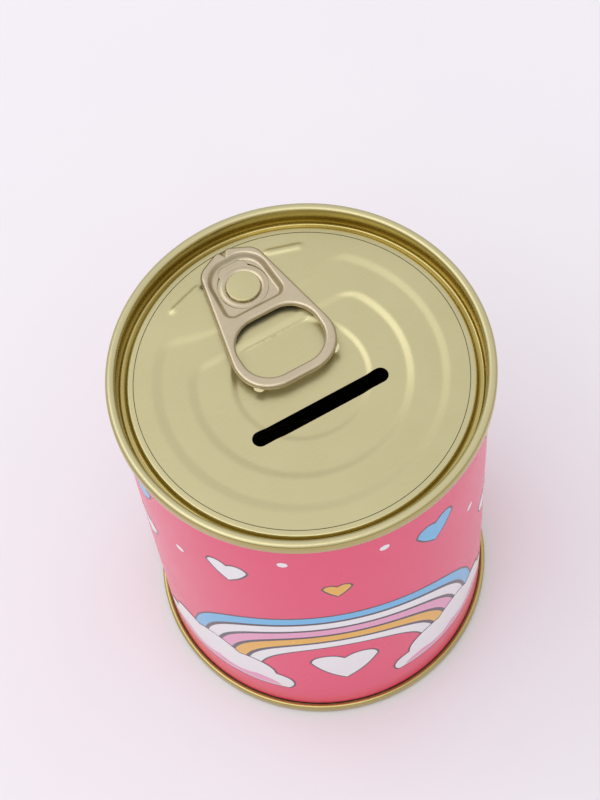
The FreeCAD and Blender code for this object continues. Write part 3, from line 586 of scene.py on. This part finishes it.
def cut_coin_slot(bm):
    """Cut the slot out of the panel with planes along its sides and round its ends."""
    half = SLOT_WIDTH / 2
    straight = SLOT_HALF - half
    sides = [(Vector((0, SLOT_Y + side * half, 0)), Vector((0, side, 0))) for side in (1, -1)]
    for end in (1, -1):
        for step in range(1, SLOT_END_CUTS):
            turn = math.pi * (step / SLOT_END_CUTS - 0.5)
            way = Vector((end * math.cos(turn), math.sin(turn), 0))
            sides.append((Vector((end * straight, SLOT_Y, 0)) + way * half, way))
    near = [face for face in bm.faces if abs(face.calc_center_median().x) < SLOT_HALF + half
            and abs(face.calc_center_median().y - SLOT_Y) < SLOT_WIDTH]
    for place, way in sides:
        parts = {item for face in near for item in (face, *face.edges, *face.verts)}
        cut = bmesh.ops.bisect_plane(bm, geom=list(parts), plane_co=place, plane_no=way, dist=MERGE)
        near = [item for item in cut["geom"] if isinstance(item, bmesh.types.BMFace)]
    inside = [face for face in near
              if all((face.calc_center_median() - place).dot(way) < 0 for place, way in sides)]
    bmesh.ops.delete(bm, geom=inside, context="FACES")
    bmesh.ops.dissolve_degenerate(bm, edges=bm.edges[:], dist=MERGE)


def make_tear_panel():
    """A flat disc with the slot punched out, pressed to its recesses and given its thickness."""
    bm = bmesh.new()
    hub = bm.verts.new(MIDDLE)
    rim = bm.verts.new((PANEL_RADIUS, 0, 0))
    spoke = bm.edges.new((hub, rim))
    bmesh.ops.subdivide_edges(bm, edges=[spoke], cuts=PANEL_RINGS)
    spin_round(bm, PANEL_STEPS)
    cut_coin_slot(bm)
    for vert in bm.verts:
        vert.co.z = PANEL_TOP + pressed_height(vert.co.x, vert.co.y)
    bmesh.ops.solidify(bm, geom=bm.faces[:], thickness=PLATE)
    # Painted shade: faces looking down, into the can, take the dark inner colour.
    paint_shade_inside(bm, downwards)
    return finish_piece(bm, "pressed_tear_panel", "panel",
                        [GOLD_LACQUER, INNER_PAINTED_SHADE], ["tear_panel"])


def island_depth(x, y):
    """How far inside the outline of the tab's sunken island a place lies."""
    share = (ISLAND_FRONT - y) / (ISLAND_FRONT - ISLAND_BACK)
    half = ISLAND_FRONT_HALF + (ISLAND_BACK_HALF - ISLAND_FRONT_HALF) * share
    front = round_corner(half - abs(x), ISLAND_FRONT - y, ISLAND_FRONT_BEND)
    return round_corner(front, y - ISLAND_BACK, ISLAND_BACK_BEND)


def rolled_edge_finder(bm):
    """Finds the nearest place on the rolled edges of a half blank: its outline and the finger hole.

    The tongue lies wholly in the island and has no rolled edge, so its finder holds one idle place.
    """
    places = []
    for edge in bm.edges:
        start, end = (vert.co for vert in edge.verts)
        if max(start.x, end.x) > MERGE and island_depth(*start.lerp(end, 0.5).xy) < 0:
            count = math.ceil(edge.calc_length() / EDGE_STEP)
            places += [start.lerp(end, step / count) for step in range(count)]
    places = places or [MIDDLE]
    finder = KDTree(len(places))
    for index, place in enumerate(places):
        finder.insert(place, index)
    finder.balance()
    return finder


def round_off(reach, bend):
    """How far a rounded edge has fallen at a distance in from its outline."""
    left = max(bend - reach, 0)
    return bend - math.sqrt(bend * bend - left * left)


def tab_levels(x, y, reach):
    """Top and underside of the tab at a place, which lies a reach in from the nearest rolled edge."""
    sunk = ease(island_depth(x, y) / ISLAND_WALL + 0.5)
    narrow = max(1 - (TIP_Y - y) / DIMPLE_LENGTH, 0)
    dimple = DIMPLE_DEPTH * narrow * ease(1 - abs(x) / (DIMPLE_HALF * narrow + MERGE))
    top = TAB_TOP - round_off(reach, EDGE_ROLL) - (TAB_TOP - ISLAND_FLOOR) * sunk - dimple
    web = WEB_HOLLOW * ease(WEB_HALF - abs(x)) * ease((y - HOLE_FRONT) / WEB_SLOPE + 1)
    hollow = max(HEM_STEP * ease((reach - HEM_WIDTH) / HEM_STEP), web) * (1 - sunk)
    return top, min(TAB_BOTTOM + round_off(reach, CURL_ROLL) + hollow, top - LIP_PLATE)


def tongue_levels(x, y, reach):
    """Top and underside of the lanced tongue, with the crimp ring pressed round the rivet."""
    radius = math.hypot(x, y - RIVET_Y)
    crimp = CRIMP_RISE * ease(1 - abs(radius - CRIMP_RADIUS) / CRIMP_HALF)
    moat = MOAT_DEPTH * ease(1 - abs(radius - HEAD_RADIUS) / MOAT_HALF)
    return ISLAND_FLOOR + crimp - moat, TONGUE_BOTTOM


def slit_corners(radius, centre_y, half, root_end):
    """One side of the tongue's outline, from the foot of its disc round to the middle of its root."""
    turn = math.acos(half / radius)
    return [(0, centre_y - radius, 0), (radius, centre_y - radius, radius),
            (radius, centre_y + radius * math.tan(turn / 2), radius),
            (half, centre_y + radius * math.sin(turn), 0), (half, root_end, ROOT_BEND),
            (0, root_end, 0)]


def press_blank(corners, levels):
    """Half a flat blank, cut into a fine grid, mirrored and pressed to its top and underside."""
    places = [(x, y, 0) for x, y, bend in corners]
    bm = rounded_outline(places, [bend for x, y, bend in corners], BLANK_STEPS)[0]
    edges = rolled_edge_finder(bm)
    for axis in (Vector((1, 0, 0)), Vector((0, 1, 0))):
        spans = [vert.co.dot(axis) for vert in bm.verts]
        for cut in range(1, math.ceil((max(spans) - min(spans)) / BLANK_GRID)):
            bmesh.ops.bisect_plane(bm, geom=whole(bm), dist=MERGE,
                                   plane_co=axis * (min(spans) + cut * BLANK_GRID), plane_no=axis)
    bmesh.ops.mirror(bm, geom=whole(bm), matrix=Matrix.Identity(4), merge_dist=MERGE, axis="X")
    bmesh.ops.remove_doubles(bm, verts=bm.verts, dist=MERGE)
    bmesh.ops.recalc_face_normals(bm, faces=bm.faces)
    lower = bm.verts[:]
    raised = bmesh.ops.extrude_face_region(bm, geom=bm.faces[:], use_keep_orig=True)["geom"]
    for verts, side in ((lower, 1), (only_verts(raised), 0)):
        for vert in verts:
            place = Vector((abs(vert.co.x), vert.co.y, 0))
            vert.co.z = levels(vert.co.x, vert.co.y, edges.find(place)[2])[side]
    bmesh.ops.recalc_face_normals(bm, faces=bm.faces)
    return bm


def add_stubs(bm):
    """The two cut stubs on the ring's outer edge, each a curved lip on a narrow neck, in a paler metal
    colour that is a painted highlight for its glint.
    """
    way = Vector((1, -1)).normalized()
    across = Vector((way.y, -way.x))
    level = (TAB_BOTTOM + TAB_TOP) / 2
    inside, lip, tip = -STUB_GAP, STUB_GAP, STUB_GAP + STUB_REACH
    curve, aside = tip * STUB_CURVE_OUT, STUB_HALF * STUB_CURVE_ASIDE
    outline = [(inside, -STUB_NECK), (lip, -STUB_NECK), (lip, -STUB_HALF), (curve, -aside), (tip, 0),
               (curve, aside), (lip, STUB_HALF), (lip, STUB_NECK), (inside, STUB_NECK)]
    for side in (1, -1):
        places = [STUB_PLACE + way * out + across * off for out, off in outline]
        face = bm.faces.new([bm.verts.new((side * place.x, place.y, level)) for place in places])
        # Painted highlight: the stub takes the paler colour for its glint.
        face.material_index = 2
        grown = bmesh.ops.extrude_face_region(bm, geom=[face], use_keep_orig=True)["geom"]
        bmesh.ops.translate(bm, vec=(0, 0, -STUB_PLATE), verts=only_verts(grown))
    bmesh.ops.recalc_face_normals(bm, faces=bm.faces)


def make_pull_tab():
    """The ring-pull tab, with painted shade under its web: its downward faces in the hollow take the dark
    inner colour.
    """
    slit = slit_corners(TONGUE_RADIUS + SIDE_GAP + SLIT_SHIFT, RIVET_Y + SLIT_SHIFT,
                        ROOT_HALF + SIDE_GAP, ROOT_END + ROOT_GAP)
    outline = [(0, TIP_Y, 0), (NOSE_HALF, TIP_Y, NOSE_BEND),
               (SHOULDER_HALF, SHOULDER_Y, SHOULDER_BEND), (TAIL_HALF, TAIL_Y, TAIL_BEND),
               (0, TAIL_Y, 0), (0, HOLE_BACK, 0), (HOLE_HALF, HOLE_BACK, HOLE_BEND),
               (HOLE_HALF, HOLE_FRONT, HOLE_BEND), (0, HOLE_FRONT, 0)]
    bm = press_blank(outline + slit, tab_levels)
    bm.normal_update()
    # Painted shade: downward faces in the hollow under the web take the dark inner colour.
    for face in bm.faces:
        if face.normal.z < 0 and face.calc_center_median().z > TAB_BOTTOM + HEM_STEP + MERGE:
            face.material_index = 1
    add_stubs(bm)
    return finish_piece(bm, "ring_pull", "tab", [CHAMPAGNE, INNER_PAINTED_SHADE, STUB_PAINTED_HIGHLIGHT],
                        ["pull_tab"])


def make_tongue():
    bm = press_blank(slit_corners(TONGUE_RADIUS, RIVET_Y, ROOT_HALF, ROOT_END), tongue_levels)
    return finish_piece(bm, "lanced_tongue", "panel", [CHAMPAGNE], ["rivet_tongue"])


def make_rivet():
    """A flat button drawn up from the panel: shank, head and its rounded edge."""
    corners = [(0, HEAD_TOP, None), (HEAD_RADIUS, HEAD_TOP, HEAD_BEND),
               (HEAD_RADIUS, HEAD_TOP - HEAD_DEPTH, 0), (SHANK_RADIUS, HEAD_TOP - HEAD_DEPTH, 0),
               (SHANK_RADIUS, PANEL_TOP, 0), (0, PANEL_TOP, None)]
    bm = bent_strip(corners)
    spin_round(bm)
    bmesh.ops.translate(bm, vec=(0, RIVET_Y, 0), verts=bm.verts)
    return finish_piece(bm, "rivet_button", "panel", [GOLD_LACQUER], ["tab_rivet"])


def make_score_web():
    """The thin metal left under the score line, which stays on the lid when the panel is peeled. Its dark
    inner colour is painted shade in the crease of the score.
    """
    top = PANEL_TOP - PLATE - SCORE_WEB_DROP
    foot = top - SCORE_WEB_PLATE
    held = PANEL_TOP - PLATE / 2
    places = [(SCORE_WEB_INSIDE, 0, top), (SCORE_WEB_INSIDE, 0, foot), (SCORE_WEB_OUTSIDE, 0, foot),
              (SCORE_WEB_OUTSIDE, 0, held), (SCORE_WEB_HOLD, 0, held), (SCORE_WEB_HOLD, 0, top)]
    bm = rounded_outline(places, [0] * len(places), BEND_STEPS)[0]
    bmesh.ops.delete(bm, geom=bm.faces[:], context="FACES_ONLY")
    spin_round(bm)
    return finish_piece(bm, "score_web", "can", [INNER_PAINTED_SHADE])


def ink_shape(sheet, corners, ink, layer, keyline=True):
    """Print one flat shape on the laid-out design, with a dark keyline round it.

    A corner is a length round the can, a height, and how much the side to the next corner bulges:
    the tangent of a quarter of that side's turn, or 0 where it is straight.
    """
    bm = bmesh.new()
    for (u, v, bulge), (next_u, next_v, _) in zip(corners, corners[1:] + corners[:1]):
        start, end = Vector((u, v, 0)), Vector((next_u, next_v, 0))
        if bulge:
            turn = 4 * math.atan(bulge)
            half = (end - start) / 2
            inward = Vector((-half.y, half.x, 0))
            centre = start + half + inward / math.tan(turn / 2)
            steps = max(ARC_LEAST, round(abs(turn) * (start - centre).length / ARC_STEP))
            bmesh.ops.spin(bm, geom=[bm.verts.new(start)], cent=centre, axis=UP, angle=turn, steps=steps)
        else:
            bm.edges.new((bm.verts.new(start), bm.verts.new(end)))
    bmesh.ops.remove_doubles(bm, verts=bm.verts, dist=MERGE)
    bmesh.ops.contextual_create(bm, geom=bm.edges[:])
    bmesh.ops.recalc_face_normals(bm, faces=bm.faces)
    if bm.faces[:][0].normal.z < 0:
        bmesh.ops.reverse_faces(bm, faces=bm.faces)
    names = list(INKS)
    for face in bm.faces:
        face.material_index = names.index(ink)
    if keyline:
        rim = bmesh.ops.inset_region(bm, faces=bm.faces[:], thickness=KEYLINE, use_even_offset=False,
                                     use_boundary=True)
        for face in rim["faces"]:
            face.material_index = names.index("keyline")
    bmesh.ops.translate(bm, vec=(0, 0, layer * INK_LAYER), verts=bm.verts)
    drawn = bpy.data.meshes.new("ink_shape")
    bm.to_mesh(drawn)
    bm.free()
    sheet.from_mesh(drawn)
    bpy.data.meshes.remove(drawn)


def placed(shape, u, v, size):
    return [(u + a * size, v + b * size, bulge) for a, b, bulge in shape]


def cloud(sheet, u, v, size):
    """A cloud on a flat base, with a pale underside."""
    ink_shape(sheet, placed(CLOUD_PUFFS, u, v, size), "white", CLOUD_LAYER)
    ink_shape(sheet, placed(CLOUD_SHADE, u, v, size), "lilac", CLOUD_LAYER + 1, False)


def heart(sheet, u, v, size, ink):
    ink_shape(sheet, placed(HEART_SIDES, u, v, size), ink, 1)


def rainbow(sheet, u, v, inks):
    """Bands of colour from the outside in, on two layers by turns so that no edge is shared."""
    for place, ink in enumerate(inks):
        outside = RAINBOW_RADIUS - place * RAINBOW_BAND
        inside = outside - RAINBOW_BAND
        arc = [(u + outside, v, HALF_TURN), (u - outside, v, 0), (u - inside, v, -HALF_TURN),
               (u + inside, v, 0)]
        ink_shape(sheet, arc, ink, 1 + place % 2)


def air_balloon(sheet, u, v, radius, inks):
    """A striped hot-air balloon: envelope, gores, ropes and basket."""
    low = v - ENVELOPE_DROP * radius
    throat = THROAT_HALF * radius
    for place, ink in enumerate(inks):
        wide = 1 - place / len(inks)
        flank, neck = radius * wide, throat * wide
        side, crown = FLANK_BULGE * wide, CROWN_BULGE * wide
        shape = [(u - neck, low, 0), (u + neck, low, side), (u + flank, v, crown),
                 (u, v + radius, crown), (u - flank, v, side)]
        ink_shape(sheet, shape, ink, 1 + place)
    top, foot, half = low - BASKET_TOP * radius, low - BASKET_LOW * radius, BASKET_HALF * radius
    tied = throat * ROPE_INSET
    for side in (1, -1):
        rope = [(u + side * half, top, 0), (u + side * (half + ROPE_WIDTH), top, 0),
                (u + side * (tied + ROPE_WIDTH), low, 0), (u + side * tied, low, 0)]
        ink_shape(sheet, rope, "keyline", 1, False)
    narrow = half * BASKET_TAPER
    basket = [(u - half, top, 0), (u - narrow, foot, BASKET_SAG), (u + narrow, foot, 0), (u + half, top, 0)]
    ink_shape(sheet, basket, "peach", 2)


def make_printed_design():
    """One film for all inks, drawn flat, cut into narrow strips and wrapped round the can."""
    sheet = bmesh.new()
    rainbow(sheet, 2, 20, ("sky", "white", "lilac", "gold", "white"))
    cloud(sheet, -28, 12, 17)
    cloud(sheet, 30, 13, 16)
    heart(sheet, *BIG_HEART)
    air_balloon(sheet, 78, 64, 19, ("sky", "white", "lilac", "gold"))
    cloud(sheet, 92, 13, 15)
    air_balloon(sheet, -72, 66, 17, ("gold", "white", "sky", "lilac"))
    cloud(sheet, -80, 12, 14)
    for u, v, size, ink in HEARTS:
        heart(sheet, u, v, size, ink)
    for u, v in DOTS:
        dot = [(u - DOT_RADIUS, v, HALF_TURN), (u + DOT_RADIUS, v, HALF_TURN)]
        ink_shape(sheet, dot, "white", 1, False)
    left, right = (pick(vert.co.x for vert in sheet.verts) for pick in (min, max))
    for cut in range(math.ceil((right - left) / CUT_WIDTH)):
        bmesh.ops.bisect_plane(sheet, geom=whole(sheet), plane_co=(left + cut * CUT_WIDTH, 0, 0),
                               plane_no=(1, 0, 0), dist=MERGE)
    bmesh.ops.triangulate(sheet, faces=sheet.faces[:])
    top = bmesh.ops.extrude_face_region(sheet, geom=sheet.faces[:])
    bmesh.ops.translate(sheet, vec=(0, 0, INK_FILM), verts=only_verts(top["geom"]))
    for vert in sheet.verts:
        turn = FRONT_ANGLE + vert.co.x / WRAP_RADIUS
        reach = WRAP_RADIUS + vert.co.z
        vert.co = (reach * math.cos(turn), reach * math.sin(turn), vert.co.y)
    bmesh.ops.recalc_face_normals(sheet, faces=sheet.faces)
    return finish_piece(sheet, "printed_inks", "can", list(INKS.values()))


def make_camera():
    camera = bpy.data.objects.new("camera", bpy.data.cameras.new("camera"))
    camera.data.lens = LENS
    camera.data.sensor_width = SENSOR
    turn = Matrix.Rotation(CAMERA_TURN, 4, "Z")
    tilt = Matrix.Rotation(CAMERA_TILT, 4, "X")
    roll = Matrix.Rotation(CAMERA_ROLL, 4, "Z")
    camera.matrix_world = Matrix.Translation(CAMERA_PLACE * MM) @ turn @ tilt @ roll
    bpy.context.scene.collection.objects.link(camera)
    bpy.context.scene.camera = camera


def make_floor():
    """A plain pale studio floor of matt paper that takes the can's shadow."""
    fibre_patch = 40
    material, tree = new_material("pale_studio_paper")
    place = add_node(tree, "ShaderNodeTexCoord").outputs["Object"]
    fibre = add_node(tree, "ShaderNodeTexNoise", {
        "Vector": place, "Scale": 1 / (fibre_patch * MM), "Detail": 2.0})
    base = add_node(tree, "ShaderNodeMix", {
        "Factor": fibre.outputs["Fac"], "A": linear("#E9E6EC"), "B": linear("#ECE9EF")}, data_type="RGBA")
    shader = add_node(tree, "ShaderNodeBsdfPrincipled", {
        "Base Color": base.outputs["Result"], "Roughness": 0.9, "Specular IOR Level": 0.2})
    close_material(tree, shader)
    bm = bmesh.new()
    bmesh.ops.create_grid(bm, x_segments=1, y_segments=1, size=FLOOR_HALF)
    mesh = bpy.data.meshes.new("floor")
    bm.to_mesh(mesh)
    bm.free()
    mesh.materials.append(material)
    floor = bpy.data.objects.new("floor", mesh)
    bpy.context.scene.collection.objects.link(floor)


def make_light():
    """A pale room, duller towards the horizon, with a long soft box on the left and one overhead."""
    world = bpy.data.worlds.new("pale_room")
    bpy.context.scene.world = world
    world.use_nodes = True
    tree = world.node_tree
    tree.nodes.clear()
    way = add_node(tree, "ShaderNodeTexCoord").outputs["Generated"]
    height = add_node(tree, "ShaderNodeSeparateXYZ", {"Vector": way}).outputs["Z"]
    walls = add_node(tree, "ShaderNodeMapRange", {
        "Value": height, "From Min": ROOM_DIM_HEIGHT, "From Max": ROOM_FULL_HEIGHT,
        "To Min": ROOM_LOW, "To Max": ROOM_HIGH})
    skirting = add_node(tree, "ShaderNodeMapRange", {
        "Value": height, "From Min": SKIRTING_TOP, "From Max": SKIRTING_END,
        "To Min": SKIRTING_LIGHT, "To Max": 0.0})
    level = add_node(tree, "ShaderNodeMath", {0: walls.outputs[0], 1: skirting.outputs[0]},
                     operation="MAXIMUM")
    room = add_node(tree, "ShaderNodeBackground", {
        "Color": linear("#F8F7F8"), "Strength": level.outputs[0]})
    add_node(tree, "ShaderNodeOutputWorld", {"Surface": room.outputs["Background"]})
    aim = Vector((0, 0, CAN_TOP * MM))
    for name, stand, length, width, power in SOFT_BOXES:
        lamp = bpy.data.lights.new(name, "AREA")
        lamp.shape = "RECTANGLE"
        lamp.size = length
        lamp.size_y = width
        lamp.energy = power
        box = bpy.data.objects.new(name, lamp)
        facing = (aim - stand).to_track_quat("-Z", "Y").to_matrix().to_4x4()
        box.matrix_world = Matrix.Translation(stand) @ facing
        bpy.context.scene.collection.objects.link(box)


make_camera()
make_floor()
make_light()
make_lid_ring()
make_bottom_end()
make_tear_panel()
make_printed_design()
# The tube's faces that look towards the axis take painted shade, the dark inner colour.
copied_piece("can_body", "welded_tube", "can", [BARE_TIN, INNER_PAINTED_SHADE], to_axis)
copied_piece("printed_label", "printed_wrap", "can", [WRAP_PINK])
make_score_web()
make_pull_tab()
make_tongue()
make_rivet()
for seal in ("base_seam_seal", "lid_seam_seal"):
    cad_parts[seal].data.materials.clear()
    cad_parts[seal].data.materials.append(RUBBER)

bpy.context.scene.view_settings.view_transform = "Standard"
bpy.context.view_layer.update()
